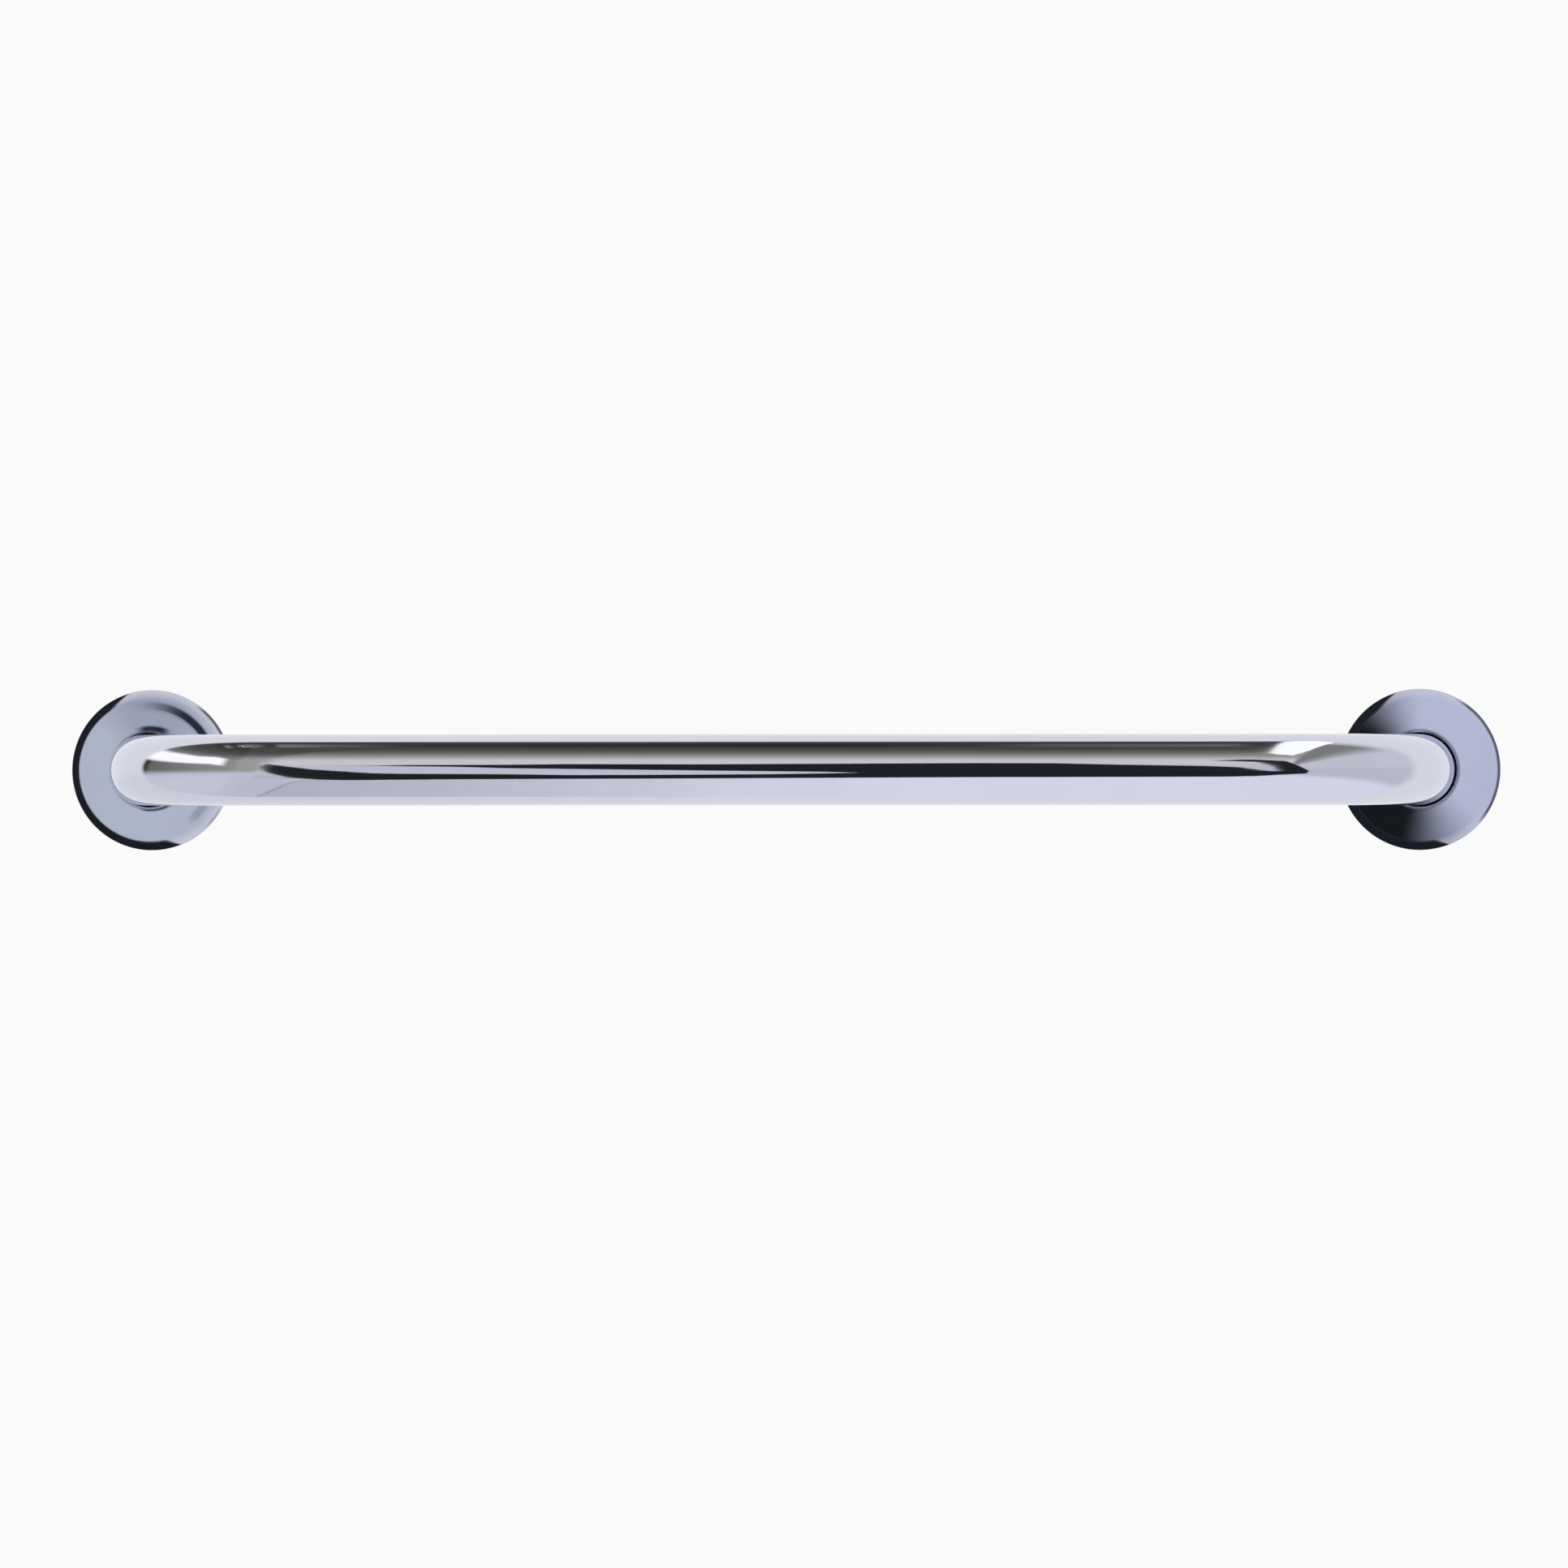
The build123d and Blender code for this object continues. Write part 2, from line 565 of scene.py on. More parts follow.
def rail_chrome(finish):
    """Bright chrome on drawn tube: faint lengthwise polishing marks and a slow ripple in the plate."""
    material, graph = new_material("rail_chrome")
    place = object_coordinates(graph)
    ripple = graph.noise(place, scale=38.0)
    marks = graph.noise(graph.stretch(place, 12.0, 900.0, 900.0), scale=1.0, detail=3.0)
    haze = graph.noise(place, scale=14.0, detail=3.0)
    end_metal(
        graph,
        clouded(graph, graph.step(haze, 0.35, 0.7), finish.chrome, 0.97),
        finish.chrome_roughness + (marks - 0.5) * 0.04 + (haze - 0.5) * 0.03,
        graph.bump(ripple, strength=0.25, distance=0.00012),
    )
    return material


def cover_chrome(finish):
    """Bright chrome on pressed sheet: spun polishing rings, soft hollows, and a duller lip at the hole that
    is also darkened with painted shade from the gap at the tube.
    """
    material, graph = new_material("cover_chrome")
    place = object_coordinates(graph)
    _, _, radius = round_leg(graph, place)
    rings = graph.noise(graph.join(radius * 2600.0, 0.0, 0.0), scale=1.0)
    hollows = graph.noise(place, scale=95.0, detail=1.5)
    haze = graph.noise(place, scale=60.0, detail=3.0)
    plate = clouded(graph, graph.step(haze, 0.35, 0.7), finish.chrome, 0.95)
    x, _, _ = graph.split(place)
    on_right = graph.step(x, -0.01, 0.01)
    # The lip is partly duller plate and partly painted shade from the gap at the tube, darker on the right
    # cover
    lip = graph.step(radius, LIP_SHADE_OUTER, LIP_SHADE_INNER) * (LEFT_LIP_SHADE + (1.0 - LEFT_LIP_SHADE) * on_right)
    unevenness = (rings - 0.5) * 0.05 + (haze - 0.5) * 0.04
    end_metal(
        graph,
        graph.blend(lip, plate, finish.chrome_lip_and_shade),
        finish.chrome_roughness + 0.02 + unevenness + lip * 0.14,
        graph.bump(hollows + (rings - 0.5) * 0.02, strength=0.4, distance=0.00012),
    )
    return material


def dull_plating(finish):
    """The thin dull plating inside the tube and behind the covers, made once for all of them."""
    made = bpy.data.materials.get("dull_plating")
    if made:
        return made
    material, graph = new_material("dull_plating")
    place = object_coordinates(graph)
    cloud = graph.noise(place, scale=120.0, detail=4.0, roughness=0.6)
    grain = graph.noise(place, scale=1800.0)
    end_metal(
        graph,
        clouded(graph, graph.step(cloud, 0.3, 0.75), finish.steel, 0.55),
        0.38 + (cloud - 0.5) * 0.25,
        graph.bump(grain, strength=0.3, distance=0.00005),
    )
    return material


def heat_tint(graph, finish, radius, colour):
    """Lays the weld's blue and straw rings over a colour."""
    straw = graph.between(radius, STRAW_INNER, STRAW_OUTER, STRAW_SOFT)
    blue = graph.step(radius, BLUE_OUTER, BLUE_INNER)
    tinted = graph.blend(straw * 0.6, colour, finish.heat_straw)
    return graph.blend(blue * 0.7, tinted, finish.heat_blue)


def satin_steel(finish):
    """Bare steel plate: turned marks, mill clouding and heat tint round the weld."""
    material, graph = new_material("satin_steel")
    place = object_coordinates(graph)
    _, _, radius = round_leg(graph, place)
    turned = graph.noise(graph.join(radius * 3200.0, 0.0, 0.0), scale=1.0, detail=3.0)
    cloud = graph.noise(place, scale=70.0, detail=4.0, roughness=0.6)
    grain = graph.noise(place, scale=2400.0)
    steel = clouded(graph, graph.step(cloud, 0.3, 0.7), finish.steel, 0.72)
    end_metal(
        graph,
        heat_tint(graph, finish, radius, steel),
        0.34 + (cloud - 0.5) * 0.2 + (turned - 0.5) * 0.12,
        graph.bump(turned + grain * 0.4, strength=0.35, distance=0.00004),
    )
    return material


def weld_metal(finish):
    """Weld metal: scaled, with oxide colours that change from ripple to ripple."""
    material, graph = new_material("weld_metal")
    place = object_coordinates(graph)
    patches = graph.noise(place, scale=520.0, detail=3.0)
    scale = graph.noise(place, scale=3600.0, detail=3.0, roughness=0.6)
    metal = clouded(graph, graph.step(patches, 0.35, 0.6), finish.steel, 0.5)
    end_metal(
        graph,
        graph.blend(graph.step(patches, 0.55, 0.75) * 0.6, metal, finish.heat_straw),
        0.36 + (scale - 0.5) * 0.3,
        graph.bump(scale, strength=0.5, distance=0.00004),
    )
    return material


# Stage

# The floor: its colour, the share of its tone that is lit, and where it fades, as shares of its radius
FLOOR_COLOUR = (0.9, 0.9, 0.91)
FLOOR_LIT = 0.5
FLOOR_FADE_START = 0.3
FLOOR_FADE_END = 0.95

# Outline of the dark flag in front of the rail, across and up, round its slanting slot
FLAG_OUTLINE = [
    (-0.200, 0.080), (-0.183, 0.010), (-0.160, -0.043), (-0.148, -0.050), (-0.112, -0.056), (-0.090, -0.068),
    (-0.065, -0.067), (-0.015, -0.058), (0.018, -0.041), (0.005, -0.027), (-0.040, -0.010), (-0.110, 0.020),
    (-0.130, 0.039), (-0.160, 0.050), (-0.184, 0.051), (-0.160, 0.054), (-0.148, 0.063), (-0.112, 0.066),
    (-0.090, 0.075), (-0.040, 0.071), (0.060, 0.087), (0.090, 0.084), (0.115, 0.062), (0.145, 0.045),
    (0.158, 0.028), (0.168, -0.020), (0.172, -0.024), (0.170, 0.040), (0.164, 0.100), (0.146, 0.124),
    (0.157, 0.140), (0.163, 0.140), (0.185, 0.090), (0.210, 0.048), (0.243, -0.020), (0.235, -0.055),
    (0.185, -0.064), (0.173, -0.068), (0.164, -0.090), (0.152, -0.099), (0.060, -0.104), (-0.040, -0.122),
    (-0.130, -0.134), (-0.173, -0.150), (-0.182, -0.144), (-0.192, -0.110), (-0.199, -0.027), (-0.202, 0.045),
]
FLAG_COLOUR = (0.02, 0.021, 0.026)

# Outline of the white card over the right bend, across and out from the wall
WHITE_OUTLINE = [
    (0.166, -0.260), (0.169, -0.309), (0.194, -0.333), (0.222, -0.255), (0.239, -0.193), (0.255, -0.062),
    (0.262, -0.035), (0.256, -0.020), (0.226, -0.005), (0.197, -0.013), (0.173, -0.023), (0.171, -0.080),
]
WHITE_COLOUR = (1.5, 1.5, 1.5)
WHITE_HEIGHT = 0.26

# Outline of the thin grey tape below the left end of the rail, across and out from the wall
TAPE_OUTLINE = [
    (-0.1935, -0.33), (-0.1920, -0.33), (-0.1912, -0.256), (-0.1902, -0.166), (-0.1925, -0.096),
    (-0.1955, -0.0675), (-0.1970, -0.0675), (-0.1940, -0.096), (-0.1917, -0.166), (-0.1927, -0.256),
]
TAPE_COLOUR = (0.42, 0.42, 0.47)

# Outline of the paler floor to the left of the tape, at the same height
PALE_OUTLINE = [
    (-0.1935, -0.40), (-0.1927, -0.256), (-0.1917, -0.166), (-0.1940, -0.096), (-0.1985, -0.05),
    (-0.2350, -0.05), (-0.2350, -0.40),
]
LEFT_FLOOR = (0.725, 0.735, 0.82)
TAPE_HEIGHT = -0.17

# The near end of the shaded wall: its sides, its heights and how far it hangs in front of the flag
SHADE_LEFT = -0.28
SHADE_RIGHT = -0.19
SHADE_LOW = -0.05
SHADE_HIGH = 0.5
SHADE_LEAD = 0.002

# The streak of light over the rail: where it begins, how far it runs along X, and its two long edges
STREAK_START = -0.29
STREAK_LENGTH = 0.48
STREAK_OUTER = -0.15
STREAK_INNER = -0.05
STREAK_HEIGHT = 0.262
STREAK_DARK = (0.07, 0.069, 0.066)

# Profile of the hood round each cover, as radius and distance off the wall, and the points round it
HOOD_PROFILE = [
    (0.0296, 0.0), (0.0296, 0.0015), (0.0274, 0.0095), (0.025, 0.0135), (0.0225, 0.0155), (0.018, 0.016),
    (0.013, 0.016),
]
HOOD_POINTS = 96

# How far away a hood still shows, and the colours of the painted light by its rim, of the painted shadow line
# at the wall and of the painted contact shadow in the corner
HOOD_SIGHT = 0.008
HOOD_RIM_LIGHT = (0.88, 0.89, 0.95)
HOOD_SHADOW_LINE = (0.16, 0.17, 0.21)
HOOD_CONTACT_SHADOW = (0.016, 0.018, 0.026)


def stage_material(name, shader_maker):
    material, graph = new_material(name)
    graph.node("ShaderNodeOutputMaterial", sockets={"Surface": shader_maker(graph)})
    return material


def stage_piece(name, points, faces, material):
    """A mesh that belongs to the stage and not to the rail."""
    mesh = bpy.data.meshes.new(name)
    mesh.from_pydata(points, [], faces)
    mesh.materials.append(material)
    piece = bpy.data.objects.new(name, mesh)
    bpy.context.scene.collection.objects.link(piece)
    return piece


def reflection_only(piece):
    """The piece shows in reflections and casts nothing."""
    piece.visible_camera = False
    piece.visible_diffuse = False
    piece.visible_transmission = False
    piece.visible_shadow = False


def card(name, points, material):
    """A flat card cut to an outline, which shows only in reflections."""
    reflection_only(stage_piece(name, points, [tuple(range(len(points)))], material))


def plain_card(name, points, colour):
    """A card of one colour."""
    card(name, points, stage_material(f"{name}_glow", lambda graph: glow_shader(graph, colour)))


def rectangle(left, right, low, high):
    return [(left, low), (right, low), (right, high), (left, high)]


def directions(graph):
    """The directions that the studio is laid out by.

    Azimuth and elevation are in degrees, from the camera's side to the right and up. Across and out say
    where a direction meets a ceiling at unit height.
    """
    x, y, z = graph.split(graph.node("ShaderNodeTexCoord", output="Generated"))
    rise = graph.math("MAXIMUM", z, 0.03)
    return SimpleNamespace(
        x=x,
        y=y,
        z=z,
        azimuth=graph.math("DEGREES", graph.math("ARCTAN2", x, -y)),
        elevation=graph.math("DEGREES", graph.math("ARCSINE", z)),
        across=x / rise,
        out=y / rise,
    )


def open_room(graph, way):
    """A bright horizon under a dark ceiling, over a floor that is paler to the right."""
    room = graph.ramp((way.elevation + 90.0) / 180.0, [
        (0.44, (0.74, 0.77, 0.90)),
        (0.55, (0.72, 0.74, 0.84)),
        (0.62, (0.84, 0.83, 0.84)),
        (0.675, (0.80, 0.79, 0.78)),
        (0.735, (0.46, 0.45, 0.43)),
        (0.80, (0.23, 0.225, 0.21)),
        (0.87, (0.10, 0.098, 0.095)),
        (1.00, (0.05, 0.049, 0.048)),
    ])
    floor = graph.blend(graph.step(way.x, -0.05, -0.108), (0.99, 1.005, 1.125), (0.63, 0.64, 0.715))
    floor = graph.blend(graph.step(way.x, -0.105, -0.14), floor, LEFT_FLOOR)
    floor = graph.blend(graph.step(way.x, -0.15, -0.6), floor, (0.82, 0.83, 0.93))
    return graph.blend(graph.step(way.elevation, -8.0, -26.0), room, floor)


def left_side(graph, way, room):
    """Adds a shaded wall that ends in the dark, a dark ceiling and a long strip of window light."""
    azimuth = way.azimuth
    elevation = way.elevation
    to_left = graph.step(way.x, -0.106, -0.18)
    wall = graph.blend(graph.step(azimuth, -7.0, -30.0), (0.52, 0.51, 0.49), (0.36, 0.352, 0.33))
    wall = graph.blend(graph.step(azimuth, -30.0, -95.0), wall, (0.20, 0.195, 0.18))
    wall = graph.blend(graph.step(azimuth, -90.0, -98.0), wall, (0.02, 0.02, 0.02))
    on_wall = graph.step(elevation, -13.0, 2.0) * graph.step(elevation, 63.0, 57.0)
    room = graph.blend(to_left * on_wall, room, wall)

    ceiling = graph.ramp(graph.length(way.across, way.out / 1.3) / 1.6, [
        (0.19, (0.055, 0.053, 0.05)),
        (0.31, (0.085, 0.08, 0.075)),
        (0.49, (0.15, 0.145, 0.135)),
        (0.56, (0.24, 0.235, 0.22)),
        (0.75, (0.30, 0.295, 0.28)),
        (0.94, (0.45, 0.44, 0.42)),
    ])
    room = graph.blend(to_left * graph.step(elevation, 26.0, 34.0), room, ceiling)

    # The strip narrows and dips towards its near end
    near_end = graph.step(azimuth, -42.0, -28.0)
    low = 15.4 - azimuth * 0.069 - near_end * 4.0
    high = 39.5 + 3.0 * graph.step(azimuth, -55.0, -80.0) - near_end * 5.0
    strip = graph.between(elevation, low, high, 3.5) * graph.step(azimuth, -25.5, -34.0)
    return graph.blend(strip, room, (1.45, 1.45, 1.43))


def right_side(graph, way, room):
    """Adds a pale wall down to a sloping skirting, and a grey band that climbs over it."""
    elevation = way.elevation
    pale = graph.blend(graph.step(elevation, -1.0, 5.0), (0.72, 0.73, 0.83), (0.78, 0.79, 0.87))
    pale = graph.blend(graph.between(elevation, 2.6, 4.4, 1.0), pale, (0.69, 0.69, 0.77))
    skirting = -17.5 - way.azimuth * 0.24
    on_wall = graph.step(elevation, skirting - 9.0, skirting + 9.0)
    room = graph.blend(graph.step(way.azimuth, 2.0, 14.0) * on_wall, room, pale)

    band = graph.step(way.across - way.out * 0.12, 1.16, 0.48)
    band = band * graph.step(way.across, 0.06, 0.26) * graph.step(way.out, 0.20, -0.06)
    return graph.blend(band * graph.step(elevation, 8.0, 16.0), room, (0.29, 0.285, 0.28))


def far_side(graph, way, room):
    """Adds the white backdrop that the rail hangs before."""
    low_left = graph.step(way.z, 0.0, -0.3) * graph.step(way.x, -0.06, -0.1)
    backdrop = graph.blend(low_left, (0.98, 0.99, 1.05), (0.90, 0.91, 0.97))
    lean = way.y - graph.math("MAXIMUM", way.z, 0.0) * 0.08
    soft = 0.055 + 0.06 * graph.step(way.x, 0.1, 0.5)
    return graph.blend(graph.step(lean, 0.145 - soft, 0.145 + soft), room, backdrop)


def make_world(stage):
    """A plain background for the camera, and the studio for everything that the rail reflects."""
    world = bpy.data.worlds.new("studio")
    world.use_nodes = True
    world.node_tree.nodes.clear()
    graph = Graph(world.node_tree)
    way = directions(graph)
    studio = open_room(graph, way)
    for side in (left_side, right_side, far_side):
        studio = side(graph, way, studio)
    seen = graph.node("ShaderNodeLightPath", output="Is Camera Ray")
    colour = graph.blend(seen, studio, stage.background)
    light = graph.node("ShaderNodeBackground", sockets={"Color": colour})
    graph.node("ShaderNodeOutputWorld", sockets={"Surface": light})
    bpy.context.scene.world = world


def glow_shader(graph, colour, shown=None):
    """A surface that glows by itself and is clear where it isn't shown."""
    light = graph.node("ShaderNodeEmission", sockets={"Color": colour})
    if shown is None:
        return light
    return graph.mix(shown, graph.node("ShaderNodeBsdfTransparent"), light)


def floor_shader(graph, stage):
    """A pale floor that keeps a soft shadow, fades out to the background and is clear from below."""
    x, y, _ = graph.split(object_coordinates(graph))
    pale = glow_shader(graph, stage.background)
    lit = graph.node("ShaderNodeBsdfDiffuse", sockets={"Color": FLOOR_COLOUR})
    fade_start = FLOOR_FADE_START * stage.floor_radius
    fade_end = FLOOR_FADE_END * stage.floor_radius
    faded = graph.step(graph.length(x, y), fade_start, fade_end)
    under = graph.node("ShaderNodeNewGeometry", output="Backfacing")
    gone = graph.math("MAXIMUM", faded, under)
    return graph.mix(gone, graph.mix(FLOOR_LIT, pale, lit), graph.node("ShaderNodeBsdfTransparent"))


def left_hood_colour(graph, turn, depth):
    """Pale painted light round the left cover, with painted shade along the tube and in a nook over the
    shoulder by the rail.
    """
    # The pale tones are painted light on the wall, darker above the cover
    upper = graph.step(turn, 20.0, 70.0) * graph.step(turn, 150.0, 105.0)
    pale = graph.blend(upper, (0.63, 0.69, 0.80), (0.49, 0.53, 0.64))
    # Painted shade in the nook over the shoulder and along the top and bottom of the tube
    nook = graph.step(turn, 5.0, 25.0) * graph.step(turn, 112.0, 55.0)
    nook = nook + 0.3 * graph.between(turn, -50.0, -20.0, 6.0)
    nook = nook * graph.between(depth, 11.3, 22.6, 2.2)
    shade_above_tube = graph.between(turn, 66.0, 106.0, 9.0) * graph.step(depth, 28.4, 29.6)
    shade_below_tube = graph.between(turn, -104.0, -60.0, 9.0) * graph.step(depth, 29.7, 30.7)
    dark = graph.math("MAXIMUM", nook, shade_above_tube + shade_below_tube)
    colour = graph.blend(dark, pale, (0.03, 0.035, 0.05))
    # Painted light on the wall by the rim
    colour = graph.blend(0.8 * graph.step(depth, 7.5, 0.5), colour, HOOD_RIM_LIGHT)
    # Painted shadow line where the wall meets the rim
    shadow_line = graph.between(turn, 20.0, 52.0, 6.0) + 0.4 * graph.between(turn, -45.0, -30.0, 6.0)
    return graph.blend(shadow_line * graph.step(depth, 2.4, 1.4), colour, HOOD_SHADOW_LINE)


def right_hood_colour(graph, turn, depth):
    """Pale painted light round the right cover, and painted shade on the side of the rail."""
    # Painted shade on the side of the rail
    rail_shade = graph.math("MAXIMUM", graph.step(turn, 84.0, 146.0), graph.step(turn, -30.0, -108.0))
    colour = graph.blend(rail_shade, (0.68, 0.72, 0.91), (0.012, 0.014, 0.018))
    # Painted light by the rim except on the outer side, where a painted shadow line runs at the wall
    outer = graph.between(turn, -38.0, 58.0, 7.0)
    colour = graph.blend((1.0 - outer) * 0.5 * graph.step(depth, 7.5, 0.5), colour, HOOD_RIM_LIGHT)
    return graph.blend(outer * graph.step(depth, 2.4, 1.4), colour, HOOD_SHADOW_LINE)


def hood_shader(graph, colour_maker):
    """The close surroundings of a cover, painted with light and shade, from the painted contact shadow where
    the hood meets the wall up to the tube.

    The turn counts from +X towards +Z in degrees, and the depth from the wall along the hood, in
    millimetres. The hood shows on its inside alone and from close by, so that the rail sees past it.
    """
    place = object_coordinates(graph)
    _, y, _ = graph.split(place)
    aside, above, radius = round_leg(graph, place)
    turn = graph.math("DEGREES", graph.math("ARCTAN2", above, aside))
    depth = 1000.0 * (HOOD_PROFILE[0][0] - radius - y)
    colour = colour_maker(graph, turn, depth)
    # Painted contact shadow where the hood meets the wall, reaching further out on the left and lower sides
    shaded = graph.math("MAXIMUM", graph.step(turn, 103.0, 130.0), graph.step(turn, -66.0, -81.0))
    contact_shadow = graph.step(depth, 0.5 + shaded * 8.5, shaded * 4.5)
    colour = graph.blend(contact_shadow, colour, HOOD_CONTACT_SHADOW)
    outside = graph.node("ShaderNodeNewGeometry", output="Backfacing")
    length = graph.node("ShaderNodeLightPath", output="Ray Length")
    far = graph.math("GREATER_THAN", length, HOOD_SIGHT)
    return glow_shader(graph, colour, 1.0 - graph.math("MAXIMUM", outside, far))


def streak_shader(graph):
    """Uneven light along the ceiling's edge, broken into flecks over the left bend."""
    place = object_coordinates(graph)
    x, y, _ = graph.split(place)
    shine = graph.ramp((x - STREAK_START) / STREAK_LENGTH, [
        (0.01, (0.08, 0.078, 0.074)),
        (0.025, (0.30, 0.295, 0.28)),
        (0.05, (0.30, 0.295, 0.28)),
        (0.062, (0.08, 0.078, 0.074)),
        (0.092, (0.08, 0.078, 0.074)),
        (0.102, (0.42, 0.41, 0.38)),
        (0.163, (0.34, 0.335, 0.31)),
        (0.177, (0.24, 0.235, 0.22)),
        (0.181, (0.04, 0.039, 0.038)),
        (0.187, (0.04, 0.039, 0.038)),
        (0.192, (0.27, 0.265, 0.25)),
        (0.229, (0.16, 0.157, 0.15)),
        (0.292, (0.055, 0.054, 0.052)),
        (0.604, (0.03, 0.03, 0.03)),
        (0.729, (0.06, 0.059, 0.057)),
        (0.79, (0.14, 0.137, 0.13)),
        (0.948, (0.17, 0.167, 0.16)),
    ])
    flecks = graph.noise(graph.stretch(place, 130.0, 60.0, 0.0), scale=1.0, detail=3.0)
    whole = graph.math("MAXIMUM", graph.step(flecks, 0.40, 0.52), graph.step(x, -0.208, -0.2))
    shown = graph.between(y, -0.13, -0.072, 0.013) * graph.between(x, -0.282, 0.158, 0.008)
    return glow_shader(graph, graph.blend(whole, STREAK_DARK, shine), shown)


def shade_shader(graph):
    """The near end of the shaded wall, which fades in along the left end of the rail."""
    x, _, z = graph.split(object_coordinates(graph))
    tone = graph.ramp((z - SHADE_LOW) / (SHADE_HIGH - SHADE_LOW), [
        (0.31, (0.47, 0.465, 0.45)),
        (0.365, (0.455, 0.45, 0.43)),
        (0.42, (0.37, 0.364, 0.348)),
        (0.50, (0.225, 0.221, 0.21)),
        (0.595, (0.135, 0.132, 0.126)),
        (0.745, (0.105, 0.103, 0.098)),
        (0.965, (0.08, 0.079, 0.075)),
    ])
    shown = graph.step(x, -0.1955, -0.2065) * graph.step(x, -0.272, -0.245) * graph.step(z, -0.045, 0.012)
    return glow_shader(graph, tone, shown)


def make_camera(stage):
    data = bpy.data.cameras.new("camera")
    data.lens = stage.lens
    data.sensor_width = 36.0
    camera = bpy.data.objects.new("camera", data)
    bpy.context.scene.collection.objects.link(camera)
    camera.location = (
        stage.camera_distance * math.sin(stage.camera_azimuth),
        -stage.camera_distance * math.cos(stage.camera_azimuth),
        -stage.camera_drop,
    )
    camera.rotation_euler = (math.radians(90.0), stage.camera_roll, stage.camera_azimuth)
    bpy.context.scene.camera = camera


def make_key_lamp(stage):
    """A soft lamp overhead, aimed at the middle between the feet."""
    data = bpy.data.lights.new("key_lamp", "AREA")
    data.energy = stage.key_power
    data.size = stage.key_size
    lamp = bpy.data.objects.new("key_lamp", data)
    bpy.context.scene.collection.objects.link(lamp)
    lamp.location = stage.key_place
    lamp.rotation_euler = Vector(stage.key_place).to_track_quat("Z", "Y").to_euler()
    lamp.visible_glossy = False


def make_floor(stage):
    half = stage.floor_radius
    points = [(x, y, -stage.floor_drop) for x, y in rectangle(-half, half, -half, half)]
    material = stage_material("pale_floor", lambda graph: floor_shader(graph, stage))
    floor = stage_piece("floor", points, [(0, 1, 2, 3)], material)
    floor.visible_glossy = False


def make_cards(stage):
    """The cards whose shapes show in the rail."""
    front = -stage.flag_distance
    plain_card("flag", [(x, front, z) for x, z in FLAG_OUTLINE], FLAG_COLOUR)
    plain_card("white_card", [(x, y, WHITE_HEIGHT) for x, y in WHITE_OUTLINE], WHITE_COLOUR)
    plain_card("tape", [(x, y, TAPE_HEIGHT) for x, y in TAPE_OUTLINE], TAPE_COLOUR)
    plain_card("pale_card", [(x, y, TAPE_HEIGHT) for x, y in PALE_OUTLINE], LEFT_FLOOR)
    outline = rectangle(SHADE_LEFT, SHADE_RIGHT, SHADE_LOW, SHADE_HIGH)
    points = [(x, front + SHADE_LEAD, z) for x, z in outline]
    card("shade", points, stage_material("shaded_wall", shade_shader))
    outline = rectangle(STREAK_START, STREAK_START + STREAK_LENGTH, STREAK_OUTER, STREAK_INNER)
    points = [(x, y, STREAK_HEIGHT) for x, y in outline]
    card("streak", points, stage_material("streak_light", streak_shader))


def make_hoods():
    """A hood of near surroundings with painted light and shade over each cover, which the cover alone
    reflects.
    """
    colours = {"left": left_hood_colour, "right": right_hood_colour}
    faces = []
    for ring in range(len(HOOD_PROFILE) - 1):
        low = ring * HOOD_POINTS
        high = low + HOOD_POINTS
        for i in range(HOOD_POINTS):
            after = (i + 1) % HOOD_POINTS
            faces.append((low + i, high + i, high + after, low + after))
    for side, foot in feet.items():
        points = []
        for radius, height in HOOD_PROFILE:
            for i in range(HOOD_POINTS):
                turn = math.tau * i / HOOD_POINTS
                points.append((foot + radius * math.cos(turn), -height, radius * math.sin(turn)))
        material = stage_material(f"{side}_hood_light_and_shade", lambda graph: hood_shader(graph, colours[side]))
        reflection_only(stage_piece(f"{side}_hood", points, faces, material))


# Operators

class TOWELRAIL_OT_rail_tube(bpy.types.Operator):
    """Sweeps the chromed tube along the rail's path"""

    bl_idname = "towel_rail.rail_tube"
    bl_label = "Rail Tube"

    def execute(self, context):
        tube = context.scene.rail_tube_settings
        finish = context.scene.finish_settings
        reach = -(tube_low.y + tube.diameter / 2)
        ease = tube.bend_radius + tube.bend_ease
        corners = [
            ((feet["left"], 0.0, 0.0), 0.0),
            ((feet["left"], ease - reach, 0.0), 0.0),
            ((feet["left"], -reach, 0.0), tube.bend_radius),
            ((feet["left"] + ease, -reach, 0.0), 0.0),
            ((feet["right"] - ease, -reach, 0.0), 0.0),
            ((feet["right"], -reach, 0.0), tube.bend_radius),
            ((feet["right"], ease - reach, 0.0), 0.0),
            ((feet["right"], 0.0, 0.0), 0.0),
        ]
        piece = grow("rail_tube_chrome", corner_path("rail_path", corners), sweep_graph(), {
            "Diameter": tube.diameter,
            "Ring Points": tube.ring_points,
            "Bend Rings": tube.bend_rings,
            "Material": rail_chrome(finish),
        })
        thicken(piece, tube.wall, tube.edge_bevel, dull_plating(finish))
        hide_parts("rail_tube")
        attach(piece, "rail")
        return {"FINISHED"}


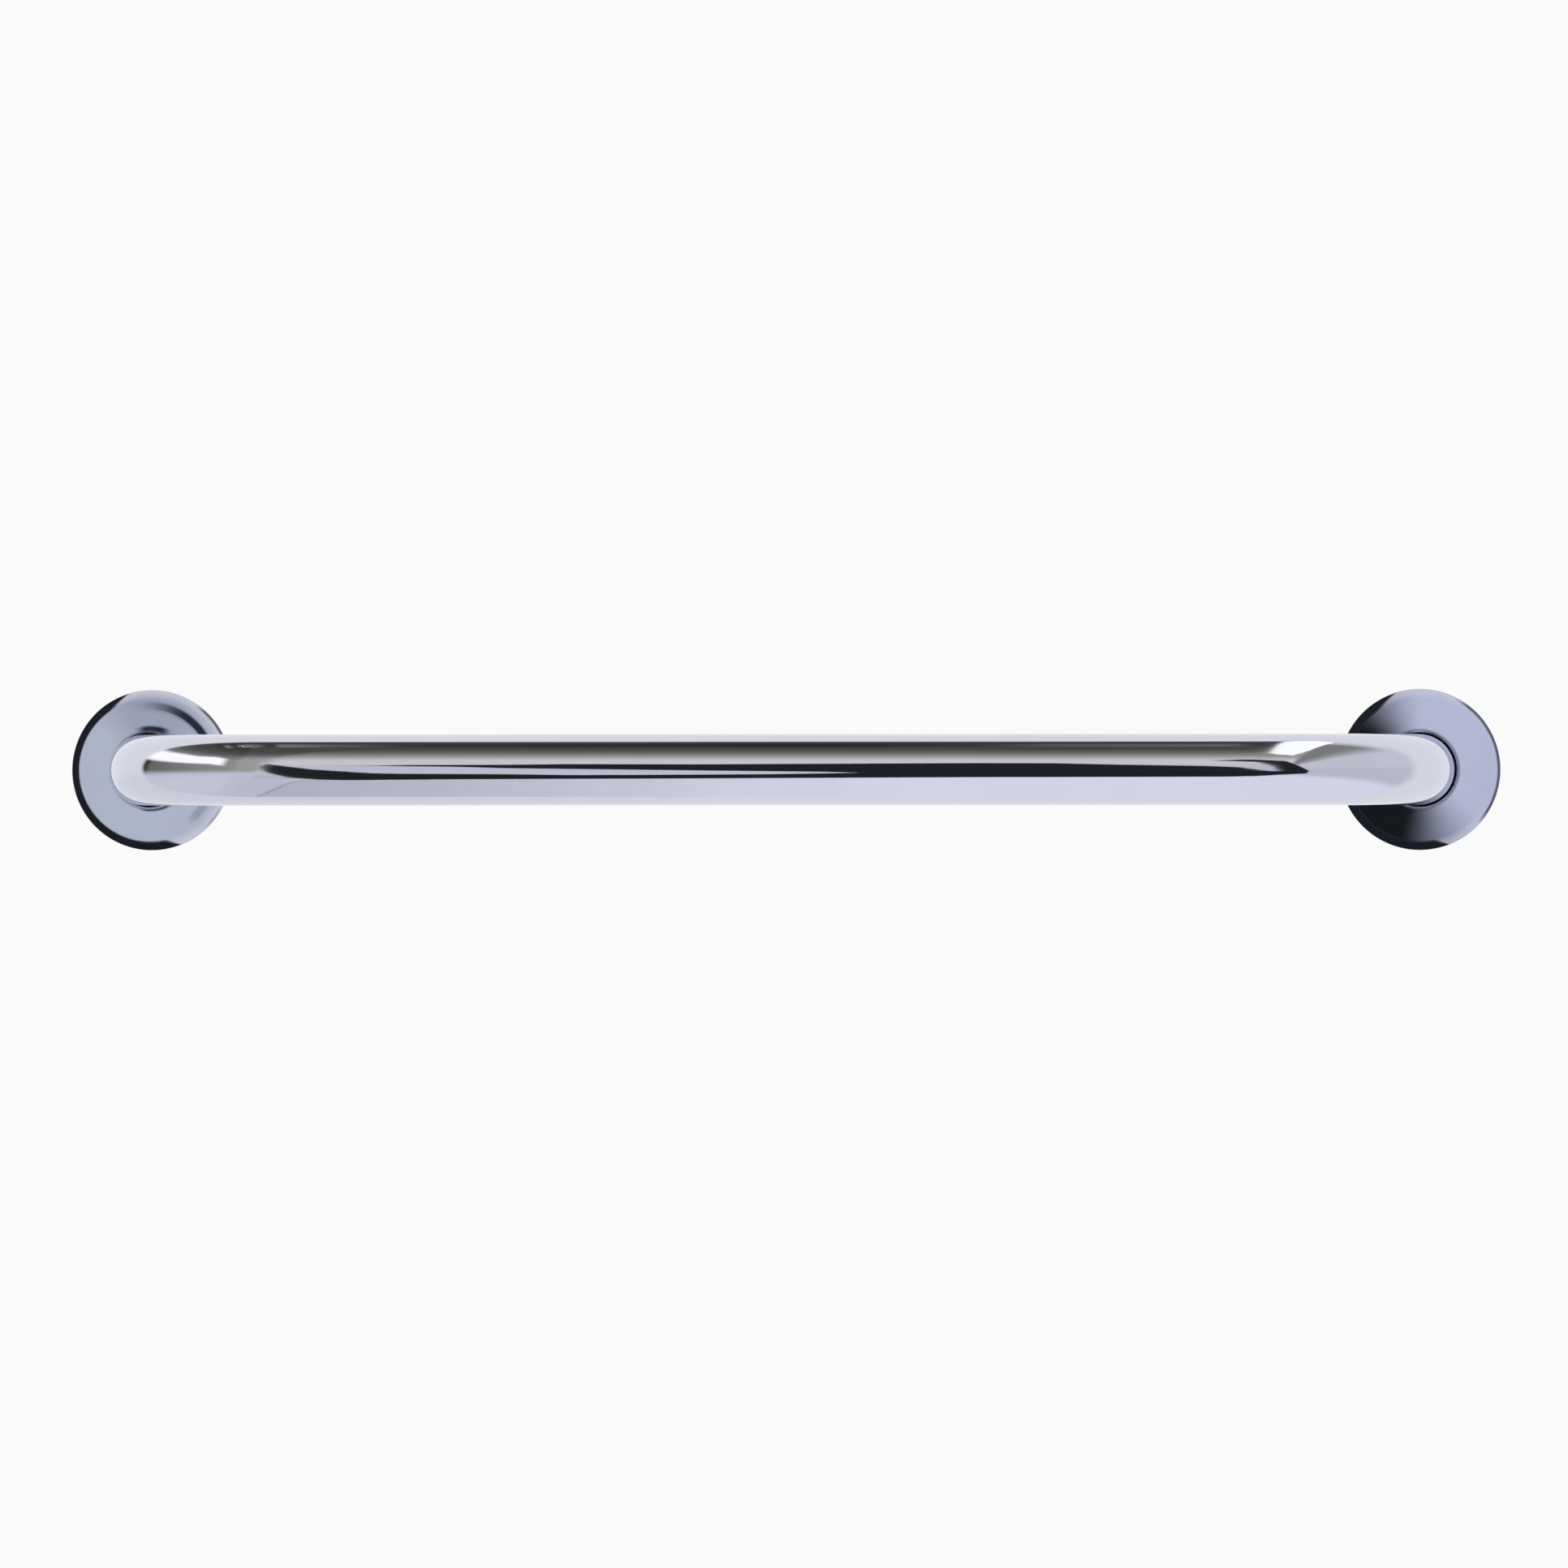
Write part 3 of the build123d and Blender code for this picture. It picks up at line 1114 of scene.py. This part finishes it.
class TOWELRAIL_OT_covers(bpy.types.Operator):
    """Turns the two pressed covers round the legs"""

    bl_idname = "towel_rail.covers"
    bl_label = "Covers"

    def execute(self, context):
        cover = context.scene.cover_settings
        finish = context.scene.finish_settings
        tube = context.scene.rail_tube_settings
        hole = tube.diameter / 2 + cover.tube_clearance
        rim = cover.diameter / 2
        slope = math.tan(cover.face_tilt)
        steep = math.tan(cover.skirt_slope)
        peak = cover.height + cover.rolled_edge_radius * (slope + 1 / math.cos(cover.face_tilt) - 1)
        lip = cover.height - cover.rolled_edge_radius - cover.rolled_edge_depth
        skirt = (peak - cover.rim_height - slope * (rim - hole)) / (steep - slope)
        profile = [
            ((rim, 0.0, 0.0), 0.0),
            ((rim, cover.rim_height, 0.0), cover.rim_radius),
            ((rim - skirt, cover.rim_height + skirt * steep, 0.0), cover.shoulder_radius),
            ((hole, peak, 0.0), cover.rolled_edge_radius),
            ((hole, lip, 0.0), 0.0),
        ]
        graph = lathe_graph()
        bright = cover_chrome(finish)
        dull = dull_plating(finish)
        for side, foot in feet.items():
            piece = grow(f"{side}_cover_chrome", corner_path(f"{side}_cover_profile", profile), graph, {
                "Foot": foot,
                "Turn Points": cover.turn_points,
                "Profile Points": cover.profile_points,
                "Material": bright,
            })
            thicken(piece, cover.sheet, cover.edge_bevel, dull)
            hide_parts(f"{side}_cover_flange")
            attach(piece, f"{side}_cover")
        return {"FINISHED"}


class TOWELRAIL_OT_welds(bpy.types.Operator):
    """Lays a rippled weld round each foot of the tube"""

    bl_idname = "towel_rail.welds"
    bl_label = "Foot Welds"

    def execute(self, context):
        weld = context.scene.weld_settings
        finish = context.scene.finish_settings
        tube = context.scene.rail_tube_settings
        weld_middle = plate_low.y + weld.leg / 2
        centres = bpy.data.meshes.new("weld_centres")
        centres.from_pydata([(foot, weld_middle, 0.0) for foot in feet.values()], [], [])
        piece = grow("foot_welds", centres, weld_graph(), {
            "Ripples": weld.bead_count,
            "Radius": tube.diameter / 2 + weld.leg / 2 - weld.sink,
            "Ripple Size": (weld.bead_depth, weld.bead_length, weld.bead_width),
            "Seed": weld.seed,
            "Material": weld_metal(finish),
        })
        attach(piece, "rail")
        return {"FINISHED"}


class TOWELRAIL_OT_fixing_plates(bpy.types.Operator):
    """Gives the fixing plates their satin steel"""

    bl_idname = "towel_rail.fixing_plates"
    bl_label = "Fixing Plates"

    def execute(self, context):
        steel = satin_steel(context.scene.finish_settings)
        for side in feet:
            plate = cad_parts[f"{side}_fixing_plate"]
            for slot in plate.material_slots:
                slot.material = steel
        return {"FINISHED"}


class TOWELRAIL_OT_stage(bpy.types.Operator):
    """Sets up the camera, the light, the floor and what the chrome reflects"""

    bl_idname = "towel_rail.stage"
    bl_label = "Stage"

    def execute(self, context):
        stage = context.scene.stage_settings
        context.scene.view_settings.view_transform = "Standard"
        make_world(stage)
        make_camera(stage)
        make_key_lamp(stage)
        make_floor(stage)
        make_cards(stage)
        make_hoods()
        return {"FINISHED"}


class TOWELRAIL_PT_sidebar(bpy.types.Panel):
    """Lists the steps that dress the towel rail"""

    bl_idname = "TOWELRAIL_PT_sidebar"
    bl_label = "Towel Rail"
    bl_space_type = "VIEW_3D"
    bl_region_type = "UI"
    bl_category = "Towel Rail"

    def draw(self, context):
        for settings, operators in STEPS:
            group = getattr(context.scene, settings)
            box = self.layout.box()
            for name in group.__annotations__:
                box.prop(group, name)
            for operator in operators:
                box.operator(operator.bl_idname)


SETTINGS = {
    "rail_tube_settings": RailTubeSettings,
    "cover_settings": CoverSettings,
    "weld_settings": WeldSettings,
    "finish_settings": FinishSettings,
    "stage_settings": StageSettings,
}

STEPS = [
    ("rail_tube_settings", [TOWELRAIL_OT_rail_tube]),
    ("cover_settings", [TOWELRAIL_OT_covers]),
    ("weld_settings", [TOWELRAIL_OT_welds]),
    ("finish_settings", [TOWELRAIL_OT_fixing_plates]),
    ("stage_settings", [TOWELRAIL_OT_stage]),
]


def register():
    for name, group in SETTINGS.items():
        bpy.utils.register_class(group)
        setattr(bpy.types.Scene, name, PointerProperty(type=group))
    for _, operators in STEPS:
        for operator in operators:
            bpy.utils.register_class(operator)
    bpy.utils.register_class(TOWELRAIL_PT_sidebar)


def unregister():
    bpy.utils.unregister_class(TOWELRAIL_PT_sidebar)
    for _, operators in reversed(STEPS):
        for operator in operators:
            bpy.utils.unregister_class(operator)
    for name, group in SETTINGS.items():
        delattr(bpy.types.Scene, name)
        bpy.utils.unregister_class(group)


def main():
    register()
    bpy.ops.towel_rail.rail_tube()
    bpy.ops.towel_rail.covers()
    bpy.ops.towel_rail.welds()
    bpy.ops.towel_rail.fixing_plates()
    bpy.ops.towel_rail.stage()


if __name__ == "__main__":
    main()
